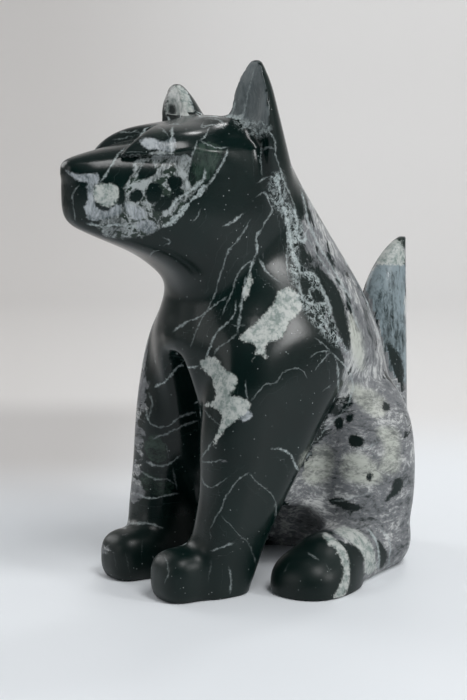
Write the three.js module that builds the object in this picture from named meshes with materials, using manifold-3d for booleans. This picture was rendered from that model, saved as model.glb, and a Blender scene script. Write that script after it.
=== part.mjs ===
// A sitting dog carved from one block of dark veined serpentine and polished all over.
// Millimetres, +Z up. The dog looks along -Y, its left side is +X, and its feet rest on Z = 0.
// The body is a closed surface wrapped round a few carved volumes: trunk, forelegs, haunches,
// paws, head, cap over the eyes, ears and tail. Each volume is a signed distance, negative
// inside, and neighbours are blended so that the polished surface flows from one to the next.

import * as THREE from 'three';
import { mergeVertices } from 'three/addons/utils/BufferGeometryUtils.js';
import Module from 'manifold-3d';

const wasm = await Module();
wasm.setup();

// Driving sizes of the carving
const tailTip = 121;
const tailBend = 95;
const tailBack = 75.5;
const noseReach = 75.2;
const eyeCrease = 156.6;
const shoulderTop = 100;
const neckTop = 164;
const headEnd = 2;
const capFloor = 150;
const capEnd = -10;
const capPoint = 49.5;
const earRoot = -34;

// Trunk sections: height, front, back, half width
const trunkSections = [
  [0, -6.5, 72, 25],
  [40, -23, 69, 20],
  [66, -29.5, 62.5, 25],
  [88, -33, 53.5, 33],
  [106, -28.5, 45, 28.5],
  [122, -25, 35, 22.5],
  [144, -22.5, 19, 20],
  [neckTop, -20, 4.5, 17],
];

// Foreleg sections: height, front, back, inner side, outer side
const forelegSections = [
  [0, -36, -15, 6, 28.5],
  [16, -36, -10, 10, 31],
  [36, -33, 0.5, 11, 33.5],
  [58, -31.5, 15, 8.5, 34.5],
  [80, -28, 26, 8, 35],
  [shoulderTop, -25.5, 24, 7, 31.5],
];

// Head sections: reach forward, top, bottom, half width
const headSections = [
  [-6, 160, 130, 15],
  [10, 166, 115.5, 21],
  [26, 167, 111, 23],
  [42, 162, 119, 20],
  [60, 158.5, 127, 12.5],
  [76, 155, 134, 6],
];

// Cap over the eyes: reach forward, top, half width
const capSections = [
  [6, 160, 15],
  [24, 166.5, 21.5],
  [36, 166.5, 23],
  [48, 164.5, 19],
  [61, 160.5, 12],
];

// Ear sections in the ear's own frame: height, front, back, inner edge, outer edge
const earSections = [
  [-40, 9, 28, -10, 0],
  [-24, 5.5, 23, -12, 5],
  [-12, 2.4, 19, -13.5, 8.4],
  [0, 0.4, 14.5, -12.6, 9.3],
  [12, 0, 9.6, -9.8, 8.6],
  [22, 1, 6.9, -6.6, 5.4],
  [28, 2.2, 5, -2.6, 1.6],
];
const earTop = 28.3;
const earNeck = 24;
const earScoopLean = 0.07;

// How an ear's middle line bends outward with height
const earBend = { limit: 30, height: 28, power: 1.5 };

// The left ear stands taller than the right one, whose tip leans outward
const leftEar = { side: 1, x: 18.6, y: -11.2, base: 160.2, tall: 1, thick: 1, yaw: 8, lean: 0 };
const rightEar = { side: -1, x: 19.3, y: -18, base: 158.5, tall: 0.75, thick: 1.25, yaw: 4, lean: 5.5 };

// Paws, haunches and the hollows between the legs, given for the left side
const forepaw = { at: [17, -39, 7.5], radii: [10, 11, 10], power: 2.8 };
const haunch = { at: [20.5, 40.5, 36], radii: [16, 19.2, 37], power: 2.3 };
const hindPaw = { at: [35.5, 6.5, 2.5], radii: [14.5, 18, 13], power: 2.4 };
const hindPawTurn = 20;
const instep = { at: [35.5, 10.5, 8], radius: 12 };
const heel = { at: [22.5, 47.5, 9], radius: 10.5 };
const bellyHollow = { at: [0, 7, -4], radii: [36, 31, 33], power: 2.2 };
const chestArch = { at: [-0.5, -32, 30], radii: [9, 19, 54], power: 3.2 };
const browGroove = { at: [0, -60, 163], radii: [4, 13, 5], power: 2 };
const nosePad = { at: [0, 4.2 - noseReach, 151.4], radii: [4.6, 4.8, 3.9], power: 2.6 };
const earScoop = { at: [0, -4, 11], radii: [7.5, 4.6, 14], power: 2 };

// The crease under the cap: where it fades, and how wide it is
const creaseFade = { from: -47, to: -27, low: 157.5, high: 162 };
const creaseWidth = { above: 1.2, below: 1.8, fadedAbove: 10, fadedBelow: 14 };

// How far the cap's point leans back for each millimetre outward, on each side
const capSlant = { left: 1, right: 0.62 };

// The tail: depths along the dog, half widths at foot and tip, and how its front edge rounds off
const tail = { depthAtFoot: 31.5, depthAtBend: 20, halfAtFoot: 13, halfAtTip: 4, thinning: 2.2, blunt: 0.2 };
const tailRound = { start: 1.6, end: 0.65 };
const tailLeast = 0.01;

// How square each form is across: 2 is an ellipse
const squareness = { trunk: 2.3, foreleg: 2.8, cap: 3, head: 2.6, ear: 2.3, tail: 2.3 };

// How wide the smooth joins are between two forms
const joinWidth = {
  foreleg: 9,
  hindLeg: 12,
  tail: 4.5,
  neck: 20,
  ear: 5,
  forepaw: 7.5,
  hindPaw: 4.5,
  foot: 7.5,
  nosePad: 2.5,
};

// How wide the rounding is where a form ends or a hollow begins
const roundWidth = {
  trunkTop: 15,
  belly: 7.5,
  arch: 10,
  forelegTop: 30,
  browGroove: 6,
  capPoint: 5,
  capEnd: 15,
  nose: 9,
  headEnd: 18,
  earEdge: 1,
  earNeck: 7,
  earScoop: 1.2,
  earTop: 2.4,
  earRoot: 14,
  tailTip: 1.2,
};

// Spacing of the facets: coarse on the body, finer on the head, the ears and the thin tail
const bodyStep = 4.9;
const headStep = 3.2;
const thinStep = 2.6;
const floorMargin = 6;
const sideReach = 56;
const lengthReach = 80;
const heightReach = 192;
const tailHalf = 7.8;
const earsFront = -21;
const earsBack = -5.4;
const headLow = 115;
const gridAcross = [[-sideReach, bodyStep], [-tailHalf, thinStep], [tailHalf, bodyStep], [sideReach]];
const gridAlong = [[-lengthReach, bodyStep], [earsFront, thinStep], [earsBack, bodyStep], [lengthReach]];
const gridUp = [[-2 * bodyStep, bodyStep], [headLow, headStep], [heightReach]];

// Working precision: the smallest divisor, the step for slopes, the halvings that find a crossing,
// and how strongly a corner point is held to the middle of its crossings
const least = 1e-6;
const slopeStep = 0.05;
const halvings = 6;
const hold = 0.08;

const stoneColor = 0x1d2a24;
const stoneRoughness = 0.25;

// Smooth joins

function blend(a, b, width) {
  const h = Math.max(width - Math.abs(a - b), 0) / width;
  return Math.min(a, b) - (h * h * h * width) / 6;
}

function carve(a, b, width) {
  return -blend(-a, -b, width);
}

function clamp(value, low, high) {
  return Math.min(Math.max(value, low), high);
}

function rotate(x, y, degrees) {
  const angle = THREE.MathUtils.degToRad(degrees);
  const c = Math.cos(angle);
  const s = Math.sin(angle);
  return [c * x + s * y, c * y - s * x];
}

// A smooth curve through the rows of sections. The first number of a row says where it sits.
// The slopes are those of a natural cubic spline.
function through(rows) {
  const places = rows.map((row) => row[0]);
  const last = rows.length - 1;
  const columns = rows[0].length - 1;
  const slopes = rows.map(() => new Array(columns).fill(0));
  for (let c = 0; c < columns; c++) {
    const value = rows.map((row) => row[c + 1]);
    const gap = (i) => places[i + 1] - places[i];
    const rise = (i) => (value[i + 1] - value[i]) / gap(i);
    const above = new Array(last + 1).fill(0);
    const right = new Array(last + 1).fill(0);
    above[0] = 0.5;
    right[0] = 1.5 * rise(0);
    for (let i = 1; i <= last; i++) {
      const inner = i < last;
      const below = inner ? gap(i) : 1;
      const centre = inner ? 2 * (gap(i - 1) + gap(i)) : 2;
      const goal = inner ? 3 * (gap(i) * rise(i - 1) + gap(i - 1) * rise(i)) : 3 * rise(i - 1);
      const pivot = centre - below * above[i - 1];
      above[i] = inner ? gap(i - 1) / pivot : 0;
      right[i] = (goal - below * right[i - 1]) / pivot;
    }
    slopes[last][c] = right[last];
    for (let i = last - 1; i >= 0; i--) {
      slopes[i][c] = right[i] - above[i] * slopes[i + 1][c];
    }
  }
  return (place) => {
    const x = clamp(place, places[0], places[last]);
    let i = 0;
    while (i < last - 1 && x > places[i + 1]) i++;
    const h = places[i + 1] - places[i];
    const u = (x - places[i]) / h;
    const start = (1 + 2 * u) * (1 - u) ** 2;
    const leave = h * u * (1 - u) ** 2;
    const arrive = h * u * u * (u - 1);
    return slopes[i].map((slope, c) => rows[i][c + 1] * start + slope * leave
      + rows[i + 1][c + 1] * (1 - start) + slopes[i + 1][c] * arrive);
  };
}

const trunkAt = through(trunkSections);
const forelegAt = through(forelegSections);
const headAt = through(headSections);
const capAt = through(capSections);
const earAt = through(earSections);

// Distance to a superellipse of half sizes a and b, true close to its outline
function ovalDistance(x, y, a, b, power) {
  const u = Math.abs(x) / a;
  const v = Math.abs(y) / b;
  const q = Math.max((u ** power + v ** power) ** (1 / power), least);
  const slope = Math.hypot((u / q) ** (power - 1) / a, (v / q) ** (power - 1) / b);
  return (q - 1) / Math.max(slope, least);
}

// Distance to a superellipsoid, true close to its surface
function ballDistance(x, y, z, ball) {
  const { at, radii, power } = ball;
  const parts = [x, y, z].map((value, i) => Math.abs(value - at[i]) / radii[i]);
  const q = Math.max(parts.reduce((sum, part) => sum + part ** power, 0) ** (1 / power), least);
  const slope = Math.hypot(...parts.map((part, i) => (part / q) ** (power - 1) / radii[i]));
  return (q - 1) / Math.max(slope, least);
}

// Distance to a rod with round ends whose thickness changes from one end to the other
function rodDistance(x, y, z, start, end) {
  const run = start.at.map((value, i) => end.at[i] - value);
  const offset = [x - start.at[0], y - start.at[1], z - start.at[2]];
  const length2 = run[0] ** 2 + run[1] ** 2 + run[2] ** 2;
  const dot = offset[0] * run[0] + offset[1] * run[1] + offset[2] * run[2];
  const h = clamp(dot / length2, 0, 1);
  const away = Math.hypot(offset[0] - h * run[0], offset[1] - h * run[1], offset[2] - h * run[2]);
  return away - (start.radius + (end.radius - start.radius) * h);
}

// The carved volumes

function trunkDistance(x, y, z) {
  const [front, back, half] = trunkAt(z);
  const side = ovalDistance(x, y - (front + back) / 2, half, (back - front) / 2, squareness.trunk);
  const whole = carve(side, z - neckTop, roundWidth.trunkTop);
  const open = carve(whole, -ballDistance(x, y, z, bellyHollow), roundWidth.belly);
  return carve(open, -ballDistance(x, y, z, chestArch), roundWidth.arch);
}

function forelegDistance(x, y, z) {
  const [front, back, inner, outer] = forelegAt(z);
  const across = x - (inner + outer) / 2;
  const along = y - (front + back) / 2;
  const side = ovalDistance(across, along, (outer - inner) / 2, (back - front) / 2, squareness.foreleg);
  const leg = carve(side, z - shoulderTop, roundWidth.forelegTop);
  return blend(leg, ballDistance(x, y, z, forepaw), joinWidth.forepaw);
}

function hindLegDistance(x, y, z) {
  const [u, v] = rotate(x - hindPaw.at[0], y - hindPaw.at[1], hindPawTurn);
  const paw = ballDistance(u, v, z - hindPaw.at[2], { ...hindPaw, at: [0, 0, 0] });
  const foot = blend(paw, rodDistance(x, y, z, instep, heel), joinWidth.hindPaw);
  return blend(ballDistance(x, y, z, haunch), foot, joinWidth.foot);
}

// 0 where the crease under the cap is crisp, over the muzzle, and 1 where it has gone
function fadingCrease(y, z) {
  const { from, to, low, high } = creaseFade;
  return THREE.MathUtils.smoothstep(y, from, to) * (1 - THREE.MathUtils.smoothstep(z, low, high));
}

// The cap over the eyes ends in two points that run forward on each side of a groove,
// and stands proud of the muzzle and cheeks above a crisp crease.
function capDistance(x, y, z) {
  const [top, half] = capAt(-y);
  const side = ovalDistance(x, z - capFloor, half, top - capFloor, squareness.cap);
  const grooved = carve(side, -ballDistance(x, y, z, browGroove), roundWidth.browGroove);
  const reach = capPoint + Math.abs(x) * (x > 0 ? capSlant.left : capSlant.right);
  const pointed = carve(grooved, z - eyeCrease - reach - y, roundWidth.capPoint);
  const short = carve(pointed, y - capEnd, roundWidth.capEnd);
  return carve(short, eyeCrease - z, creaseWidth.above + creaseWidth.fadedAbove * fadingCrease(y, z));
}

function headDistance(x, y, z) {
  const [top, bottom, half] = headAt(-y);
  const side = ovalDistance(x, z - (top + bottom) / 2, half, (top - bottom) / 2, squareness.head);
  const blunt = carve(side, -noseReach - y, roundWidth.nose);
  const short = carve(blunt, y - headEnd, roundWidth.headEnd);
  const crease = creaseWidth.below + creaseWidth.fadedBelow * fadingCrease(y, z);
  const capped = blend(short, capDistance(x, y, z), crease);
  return blend(capped, ballDistance(x, y, z, nosePad), joinWidth.nosePad);
}

// An ear is a tapering blade with a flat face, lightly scooped, turned forward
function earDistance(x, y, z, ear) {
  const w = (z - ear.base) / ear.tall;
  const [turned, v] = rotate(x * ear.side - ear.x, y - ear.y, ear.yaw);
  const u = turned - ear.lean * (clamp(w, 0, earBend.limit) / earBend.height) ** earBend.power;
  const [front, back, inner, outer] = earAt(w);
  const depth = ear.thick * (back - front);
  const blade = ovalDistance(u - (outer + inner) / 2, v - front, (outer - inner) / 2, depth, squareness.ear);
  const edge = roundWidth.earEdge + roundWidth.earNeck * clamp(-w / earNeck, 0, 1);
  const faced = carve(blade, front - v, edge);
  const scooped = carve(faced, -ballDistance(u, v - earScoopLean * w, w, earScoop), roundWidth.earScoop);
  const topped = carve(scooped, (w - earTop) * ear.tall, roundWidth.earTop);
  return carve(topped, (earRoot - w) * ear.tall, roundWidth.earRoot);
}

// The tail is an upright blade: a straight back edge, and a front edge that leans back
// and curves in to the tip.
function tailDistance(x, y, z) {
  const rise = clamp((z - tailBend) / (tailTip - tailBend), 0, 1);
  const taper = clamp(z, 0, tailBend) / tailBend;
  const straight = tail.depthAtFoot + (tail.depthAtBend - tail.depthAtFoot) * taper;
  const depth = straight * (1 - rise ** tailRound.start) ** tailRound.end + tailLeast;
  const height = clamp(z, 0, tailTip) / tailTip;
  const half = tail.halfAtFoot + (tail.halfAtTip - tail.halfAtFoot) * height - tail.thinning * rise * rise;
  const side = ovalDistance(x, y - tailBack + depth / 2, half, depth / 2, squareness.tail);
  return carve(side, z - tailTip + tail.blunt, roundWidth.tailTip);
}

function dogDistance(x, y, z) {
  const side = Math.abs(x);
  const legs = blend(trunkDistance(x, y, z), forelegDistance(side, y, z), joinWidth.foreleg);
  const seated = blend(legs, hindLegDistance(side, y, z), joinWidth.hindLeg);
  const tailed = blend(seated, tailDistance(x, y, z), joinWidth.tail);
  const headed = blend(tailed, headDistance(x, y, z), joinWidth.neck);
  const ears = Math.min(earDistance(x, y, z, leftEar), earDistance(x, y, z, rightEar));
  return blend(headed, ears, joinWidth.ear);
}

// The dog carries on a little below the floor line, where it is cut off flat later
function deepDistance(x, y, z) {
  return Math.max(dogDistance(x, y, z), -floorMargin - z);
}

// Facets: the surface passes through the cells of a grid where the distance changes sign.
// Each sheet of it in a cell gets one corner point, placed where the surface planes of the
// crossed edges meet, and each crossed edge gets two triangles between the cells round it.

// Grid planes from rows of [where a stretch starts, spacing], closed by the place of the last plane
function planes(rows) {
  const places = [rows[0][0]];
  for (let r = 0; r < rows.length - 1; r++) {
    const [from, step] = rows[r];
    const run = rows[r + 1][0] - from;
    const count = Math.round(run / step);
    for (let i = 1; i <= count; i++) places.push(from + (run * i) / count);
  }
  return places;
}

function slopeAt(point) {
  const e = slopeStep;
  const [x, y, z] = point;
  const slope = new THREE.Vector3(
    deepDistance(x + e, y, z) - deepDistance(x - e, y, z),
    deepDistance(x, y + e, z) - deepDistance(x, y - e, z),
    deepDistance(x, y, z + e) - deepDistance(x, y, z - e),
  );
  return slope.normalize();
}

function crossing(a, b, distanceA, distanceB) {
  let low = 0;
  let high = 1;
  const inside = distanceA < 0;
  let t = distanceA / (distanceA - distanceB);
  for (let i = 0; i < halvings; i++) {
    const point = a.map((value, k) => value + (b[k] - value) * t);
    const negative = deepDistance(...point) < 0;
    if (negative === inside) low = t;
    else high = t;
    t = (low + high) / 2;
  }
  return a.map((value, k) => value + (b[k] - value) * t);
}

// The point that lies closest to all the surface planes, held near the middle of the crossings
function meetingPoint(crossings, cellMin, cellMax) {
  const middle = new THREE.Vector3();
  crossings.forEach((point) => middle.add(new THREE.Vector3(...point)));
  middle.divideScalar(crossings.length);
  const matrix = new THREE.Matrix3().set(hold, 0, 0, 0, hold, 0, 0, 0, hold);
  const goal = new THREE.Vector3();
  const m = matrix.elements;
  crossings.forEach((point) => {
    const normal = slopeAt(point);
    const n = normal.toArray();
    const away = normal.dot(new THREE.Vector3(...point).sub(middle));
    for (let i = 0; i < 3; i++) {
      for (let j = 0; j < 3; j++) m[i * 3 + j] += n[i] * n[j];
    }
    goal.addScaledVector(normal, away);
  });
  const point = goal.applyMatrix3(matrix.invert()).add(middle);
  return point.clamp(new THREE.Vector3(...cellMin), new THREE.Vector3(...cellMax));
}

// The twelve edges of a cell are numbered 4 * axis + a + 2 * b, where a and b are 0 or 1 and
// say on which side of the cell the edge runs, along the next axis and the one after it.
// Crossed edges on one face of the cell belong to the same sheet. When all four are crossed,
// those that meet in a corner inside the stone do.
function sheetLabels(crossed, insideAt) {
  const label = crossed.map((yes, edge) => (yes ? edge : -1));
  const join = (p, q) => {
    const [keep, drop] = [label[p], label[q]];
    label.forEach((name, edge) => {
      if (name === drop) label[edge] = keep;
    });
  };
  for (let normal = 0; normal < 3; normal++) {
    const u = (normal + 1) % 3;
    const v = (normal + 2) % 3;
    for (let side = 0; side < 2; side++) {
      const alongU = [4 * u + 2 * side, 4 * u + 2 * side + 1];
      const alongV = [4 * v + side, 4 * v + side + 2];
      const met = alongU.concat(alongV).filter((edge) => crossed[edge]);
      if (met.length === 2) join(met[0], met[1]);
      if (met.length < 4) continue;
      for (let a = 0; a < 2; a++) {
        for (let b = 0; b < 2; b++) {
          const corner = [0, 0, 0];
          corner[normal] = side;
          corner[u] = a;
          corner[v] = b;
          if (insideAt(corner)) join(alongU[b], alongV[a]);
        }
      }
    }
  }
  return label;
}

function surfaceMesh() {
  const grid = [planes(gridAcross), planes(gridAlong), planes(gridUp)];
  const count = grid.map((places) => places.length);
  const index = (at) => (at[0] * count[1] + at[1]) * count[2] + at[2];
  const spot = (at) => at.map((n, axis) => grid[axis][n]);
  const moved = (at, axis, by) => at.map((n, k) => (k === axis ? n + by : n));
  const everyCell = (visit) => {
    for (let i = 0; i < count[0] - 1; i++) {
      for (let j = 0; j < count[1] - 1; j++) {
        for (let k = 0; k < count[2] - 1; k++) visit([i, j, k]);
      }
    }
  };

  const value = new Float64Array(count[0] * count[1] * count[2]);
  grid[0].forEach((x, i) => grid[1].forEach((y, j) => grid[2].forEach((z, k) => {
    value[index([i, j, k])] = deepDistance(x, y, z);
  })));

  const crossings = new Map();
  everyCell((at) => {
    for (let axis = 0; axis < 3; axis++) {
      const next = moved(at, axis, 1);
      const here = value[index(at)];
      const there = value[index(next)];
      if (here < 0 === there < 0) continue;
      const point = crossing(spot(at), spot(next), here, there);
      crossings.set(3 * index(at) + axis, { point, outward: here < 0, corners: [] });
    }
  });

  const points = [];
  everyCell((at) => {
    const edges = [];
    for (let axis = 0; axis < 3; axis++) {
      for (let b = 0; b < 2; b++) {
        for (let a = 0; a < 2; a++) {
          const start = moved(moved(at, (axis + 1) % 3, a), (axis + 2) % 3, b);
          edges.push(crossings.get(3 * index(start) + axis));
        }
      }
    }
    const crossed = edges.map((edge) => edge !== undefined);
    const labels = sheetLabels(crossed, (corner) => value[index(at.map((n, k) => n + corner[k]))] < 0);
    new Set(labels.filter((label) => label >= 0)).forEach((label) => {
      const members = edges.filter((edge, e) => labels[e] === label);
      const low = spot(at);
      const high = spot(at.map((n) => n + 1));
      points.push(meetingPoint(members.map((edge) => edge.point), low, high));
      edges.forEach((edge, e) => {
        if (labels[e] === label) edge.corners[e % 4] = points.length - 1;
      });
    });
  });

  const triangles = [];
  const off = (p, q) => {
    const half = points[p].clone().lerp(points[q], 0.5);
    return Math.abs(deepDistance(half.x, half.y, half.z));
  };
  crossings.forEach(({ outward, corners }) => {
    const round = [corners[0], corners[1], corners[3], corners[2]];
    const [a, b, c, d] = outward ? round : round.reverse();
    if (off(a, c) < off(b, d)) triangles.push(a, b, c, a, c, d);
    else triangles.push(b, c, d, b, d, a);
  });
  const geometry = new THREE.BufferGeometry().setFromPoints(points);
  geometry.setIndex(triangles);
  return geometry;
}

// Solids, joined and cut

function solidFrom(geometry) {
  const mesh = new wasm.Mesh({
    numProp: 3,
    vertProperties: new Float32Array(geometry.getAttribute('position').array),
    triVerts: new Uint32Array(geometry.index.array),
  });
  return new wasm.Manifold(mesh);
}

function boxSolid(width, depth, height, centreZ) {
  const box = new THREE.BoxGeometry(width, depth, height);
  box.translate(0, 0, centreZ);
  box.deleteAttribute('normal');
  box.deleteAttribute('uv');
  return solidFrom(mergeVertices(box));
}

const skinGeometry = surfaceMesh();
const skin = solidFrom(skinGeometry);
const floorCut = boxSolid(4 * sideReach, 4 * lengthReach, 4 * bodyStep, -2 * bodyStep);
const carving = skin.subtract(floorCut);

const result = carving.getMesh();
const geometry = new THREE.BufferGeometry();
geometry.setAttribute('position', new THREE.BufferAttribute(new Float32Array(result.vertProperties), 3));
geometry.setIndex(new THREE.BufferAttribute(new Uint32Array(result.triVerts), 1));
geometry.computeBoundingBox();
const middle = geometry.boundingBox.getCenter(new THREE.Vector3());
geometry.translate(-middle.x, -middle.y, 0);
geometry.computeVertexNormals();

const stone = new THREE.MeshStandardMaterial({ color: stoneColor, roughness: stoneRoughness, metalness: 0 });
const dog = new THREE.Mesh(geometry, stone);
dog.name = 'dog_carving';

const carvingGroup = new THREE.Group();
carvingGroup.add(dog);

export default carvingGroup;
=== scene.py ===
# A polished serpentine carving of a sitting dog, on a pale floor in soft studio light.
# The carving's surface is worked out from the same sizes as the CAD solid, but finer.
# Sizes are in millimetres until the mesh is made: the dog looks along -Y and +Z is up.

from types import SimpleNamespace as Values

import bpy
import numpy as np
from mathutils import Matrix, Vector


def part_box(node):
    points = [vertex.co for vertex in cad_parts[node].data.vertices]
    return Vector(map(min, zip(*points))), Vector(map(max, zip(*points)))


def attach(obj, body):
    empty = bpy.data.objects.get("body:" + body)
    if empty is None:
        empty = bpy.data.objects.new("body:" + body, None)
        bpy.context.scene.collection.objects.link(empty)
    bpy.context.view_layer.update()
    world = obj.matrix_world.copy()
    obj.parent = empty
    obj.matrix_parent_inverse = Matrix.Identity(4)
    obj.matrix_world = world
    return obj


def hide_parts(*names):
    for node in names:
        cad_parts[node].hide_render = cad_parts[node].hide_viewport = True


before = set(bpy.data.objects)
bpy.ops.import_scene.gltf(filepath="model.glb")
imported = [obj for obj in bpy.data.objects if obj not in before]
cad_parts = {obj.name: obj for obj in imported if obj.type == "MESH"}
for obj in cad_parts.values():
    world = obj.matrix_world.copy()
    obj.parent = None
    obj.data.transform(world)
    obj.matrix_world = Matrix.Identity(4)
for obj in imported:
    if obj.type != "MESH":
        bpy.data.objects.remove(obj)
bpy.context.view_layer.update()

MM = 0.001

# Driving sizes of the carving
TAIL_TIP = 121
TAIL_BEND = 95
TAIL_BACK = 75.5
NOSE_REACH = 75.2
EYE_CREASE = 156.6
SHOULDER_TOP = 100
NECK_TOP = 164
SOFT_FOOT = 0.8

# Trunk sections: height, front, back, half width
TRUNK = [
    (0, -6.5, 72, 25),
    (40, -23, 69, 20),
    (66, -29.5, 62.5, 25),
    (88, -33, 53.5, 33),
    (106, -28.5, 45, 28.5),
    (122, -25, 35, 22.5),
    (144, -22.5, 19, 20),
    (NECK_TOP, -20, 4.5, 17),
]

# Foreleg sections: height, front, back, inner side, outer side
FORELEG = [
    (0, -36, -15, 6, 28.5),
    (16, -36, -10, 10, 31),
    (36, -33, 0.5, 11, 33.5),
    (58, -31.5, 15, 8.5, 34.5),
    (80, -28, 26, 8, 35),
    (SHOULDER_TOP, -25.5, 24, 7, 31.5),
]

# Head sections: reach forward, top, bottom, half width
HEAD = [
    (-6, 160, 130, 15),
    (10, 166, 115.5, 21),
    (26, 167, 111, 23),
    (42, 162, 119, 20),
    (60, 158.5, 127, 12.5),
    (76, 155, 134, 6),
]
HEAD_END = 2

# Cap over the eyes: reach forward, top, half width
CAP = [
    (6, 160, 15),
    (24, 166.5, 21.5),
    (36, 166.5, 23),
    (48, 164.5, 19),
    (61, 160.5, 12),
]
CAP_FLOOR = 150
CAP_END = -10
CAP_POINT = 49.5
CAP_SLANT = Values(left=1, right=0.62)

# The crease under the cap fades out behind the muzzle and above it
CREASE_FADE = Values(start=-47, end=-27, low=157.5, high=162)
CREASE_WIDTH = Values(above=1.2, below=1.8, faded_above=10, faded_below=14)

# Ear sections in the ear's own frame: height, front, back, inner edge, outer edge
EAR = [
    (-40, 9, 28, -10, 0),
    (-24, 5.5, 23, -12, 5),
    (-12, 2.4, 19, -13.5, 8.4),
    (0, 0.4, 14.5, -12.6, 9.3),
    (12, 0, 9.6, -9.8, 8.6),
    (22, 1, 6.9, -6.6, 5.4),
    (28, 2.2, 5, -2.6, 1.6),
]
EAR_TOP = 28.3
EAR_ROOT = -34
EAR_NECK = 24
EAR_SCOOP_LEAN = 0.07
EAR_BEND = Values(limit=30, height=28, power=1.5)

# The left ear stands taller than the right one, whose tip leans outward
LEFT_EAR = Values(side=1, x=18.6, y=-11.2, base=160.2, tall=1, thick=1, yaw=8, lean=0)
RIGHT_EAR = Values(side=-1, x=19.3, y=-18, base=158.5, tall=0.75, thick=1.25, yaw=4, lean=5.5)

# The tail blade: its depth and half width, and the powers that round its front edge
TAIL = Values(
    depth_at_foot=31.5, depth_at_bend=20, least_depth=0.01,
    half_at_foot=13, half_at_tip=4, thinning=2.2, blunt=0.2,
)
TAIL_ROUND = Values(start=1.6, end=0.65)

# Balls: centre, half sizes, squareness
FOREPAW = ((17, -39, 7.5), (10, 11, 10), 2.8)
HAUNCH = ((20.5, 40.5, 36), (16, 19.2, 37), 2.3)
HIND_PAW = ((35.5, 6.5, 2.5), (14.5, 18, 13), 2.4)
BELLY_HOLLOW = ((0, 7, -4), (36, 31, 33), 2.2)
CHEST_ARCH = ((-0.5, -32, 30), (9, 19, 54), 3.2)
BROW_GROOVE = ((0, -60, 163), (4, 13, 5), 2)
NOSE_PAD = ((0, 4.2 - NOSE_REACH, 151.4), (4.6, 4.8, 3.9), 2.6)
EAR_SCOOP = ((0, -4, 11), (7.5, 4.6, 14), 2)

# The hind foot: a rod with round ends, each a centre and a radius
HIND_PAW_TURN = 20
INSTEP = ((35.5, 10.5, 8), 12)
HEEL = ((22.5, 47.5, 9), 10.5)

# How square the sections are: 2 is an oval
SQUARENESS = Values(trunk=2.3, foreleg=2.8, cap=3, head=2.6, ear=2.3, tail=2.3)

# How wide the joins between two forms are, and how wide the ends and edges are rounded
JOIN = Values(
    foreleg=9, hind_leg=12, tail=4.5, neck=20, ear=5,
    forepaw=7.5, hind_paw=4.5, foot=7.5, nose_pad=2.5,
)
ROUND = Values(
    trunk_top=15, belly=7.5, arch=10, foreleg_top=30,
    brow_groove=6, cap_point=5, cap_end=15, nose=9, head_end=18,
    ear_edge=1, ear_neck=7, ear_scoop=1.2, ear_top=2.4, ear_root=14, tail_tip=1.2,
)

# Fineness of the surface. The first look takes every fourth plane, and what lies within its reach
# is worked out fully. The points then settle on the surface by moves of at most a share of the step
STEP = 0.98
REACH_LOW = (-55, -79, -3)
REACH_HIGH = (55, 79, 192)
COARSE = Values(skip=4, reach=2.5)
SETTLE = Values(rounds=3, least_slope=0.2, longest=0.6, evening=0.5)
SLOPE_STEP = 0.03
LEAST = 1e-6

# The photograph's viewpoint, and its frame in pixels
VIEWPOINT = (542.3, -385.1, 190)
AIM = (18, -18, 87)
FOCAL_PIXELS = 1830
PHOTO_WIDTH = 467
PHOTO_HEIGHT = 700

# What shows in the photograph: a point at most the slack behind the nearest one in its cell of
# pixels, on a surface that faces the viewpoint
NEAREST = Values(cell=4, slack=9)
FACING = (0.08, 0.3)

# How veins and patches are laid, in the photograph's pixels. Veins less than apart from each other
# get different channels, and hidden stone counts as the hidden depth outside every patch
CURVE_SPACING = 1.5
VEIN = Values(reach=9, apart=15, width=0.78, tip=0.3, end=4, fade=4)
PATCH_REACH = 12
HIDDEN_DEPTH = 14

# Where the stone changes: millimetres, but for facing how far the surface turns to the front. A pair
# is where a change starts and where it is whole
CLOUD_DEPTH = (-14, 5)
RIGHT_CLOUD = Values(side=23, top=115, most=2)
TAIL_CLOUD = Values(less=4, back=(52, 60), height=(55, 75))
HAUNCH_CLOUD = Values(more=5, height=(75, 55), behind=(-2, 2))
BROKEN_CHEEK = Values(back=(26, 38), front=(74, 64), low=(116, 124), high=(160, 154), aside=(2, 7))
DULL_EAR = Values(height=(161, 168), facing=(0.55, 0.8), front=(-24, -19), aside=(6, 9))

# Noises: scale for each millimetre, detail, roughness, distortion
NOISE = Values(
    swirl=(0.06, 3),
    deep=(0.05, 4),
    fine=(1.1, 5, 0.7),
    rough=(0.35, 5, 0.65),
    fibre=(0.14, 6, 0.62, 0.2),
    wool=(0.7, 6, 0.75, 0.3),
    blot=(0.12, 5, 0.62),
    rubble=(0.3, 4, 0.7),
    rubble_spots=(0.07, 3),
    strands=(0.3, 4, 0.62, 0.5),
    crumbs=(0.62, 6, 0.72, 0.4),
    vein_bend=(0.22, 2),
    vein_wander=(1.0, 4, 0.7),
    vein_swell=(0.3, 3, 0.7),
)

# How far the noises push: places in millimetres, edges of patches and veins in pixels
PUSH = Values(swirl=22, rubble=9, edge_wave=6, edge_tatter=7, vein_bend=4, vein_wander=5)

# Levels where something starts and is whole. Those of the edges are pixels inside a patch
EDGE = (-1.2, 1.6)
SOFT_EDGE = (-4, 5)
LACE_EDGE = (-2, 5)
LEVEL = Values(
    grit=(0.36, 0.62),
    strokes=(55, 80),
    cloud=(0.47, 0.55),
    white=(0.49, 0.61),
    rubble_joint=(0.03, 0.16),
    rubble_stone=(0.36, 0.4),
    rubble_spots=(0.45, 0.52),
    strands=(0.034, 0.006),
    crumbs=(0.48, 0.6),
    speck=(0.13, 0.06),
    speck_place=(0.49, 0.6),
    worn_foot=(30, 12),
)

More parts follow.
